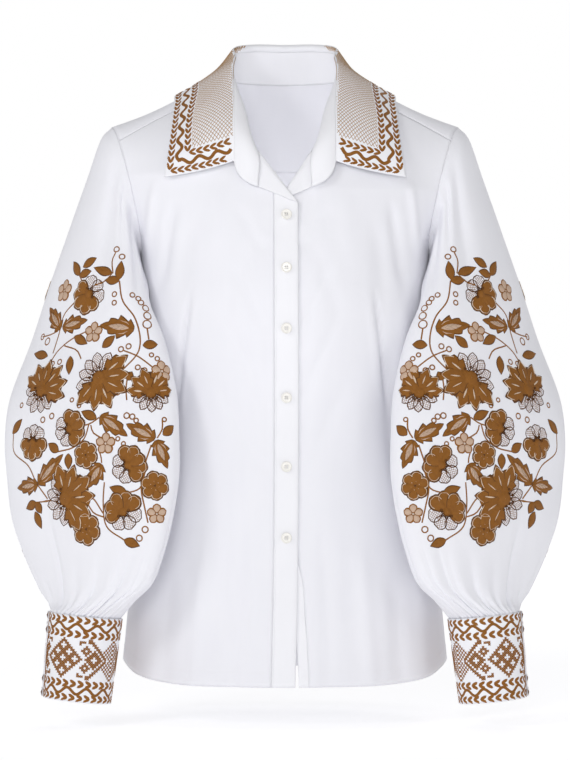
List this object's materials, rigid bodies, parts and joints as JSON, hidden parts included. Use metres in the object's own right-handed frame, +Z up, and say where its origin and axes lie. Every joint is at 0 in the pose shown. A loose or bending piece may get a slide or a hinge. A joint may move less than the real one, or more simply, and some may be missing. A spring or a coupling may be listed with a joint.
{
  "type": "vyshyvanka shirt",
  "caption": "White button-front shirt with an open collar, balloon sleeves gathered into deep cuffs, and brown floral and geometric embroidery, filled out and hollow.",
  "frame": {"origin": "between the shoulders, at the height where the collar touches them: where a wearer's shoulders and neck hold the shirt", "axes": "+X to the wearer's left, +Y to the wearer's back, +Z up; the front faces -Y"},
  "size_m": [0.6026, 0.2525, 0.7088],
  "materials": {
    "white_cotton": "fine plain-weave cotton shirting, matt with a faint sheen, cool white",
    "embroidered_cotton": "the same cool white cotton shirting, worked with brown and beige satin-stitch embroidery",
    "brown_thread": "satin-stitched rayon thread, golden brown with a soft sheen",
    "beige_thread": "pale beige thread fill",
    "ivory_plastic": "glossy ivory shirt buttons"
  },
  "bodies": {
    "root": {"front_right": "white_cotton", "front_left": "white_cotton", "band_right": "white_cotton", "band_left": "white_cotton", "lapel_right": "white_cotton", "lapel_left": "white_cotton", "back": "white_cotton", "yoke": "white_cotton", "collar_stand": "white_cotton", "collar_leaf": "embroidered_cotton", "sleeve_right": "embroidered_cotton", "sleeve_left": "embroidered_cotton", "cuff_right": "embroidered_cotton", "cuff_left": "embroidered_cotton", "button_1": "ivory_plastic", "button_2": "ivory_plastic", "button_3": "ivory_plastic", "button_4": "ivory_plastic", "button_5": "ivory_plastic", "button_6": "ivory_plastic", "cuff_button_right_1": "ivory_plastic", "cuff_button_right_2": "ivory_plastic", "cuff_button_right_3": "ivory_plastic", "cuff_button_left_1": "ivory_plastic", "cuff_button_left_2": "ivory_plastic", "cuff_button_left_3": "ivory_plastic"}
  },
  "joints": []
}
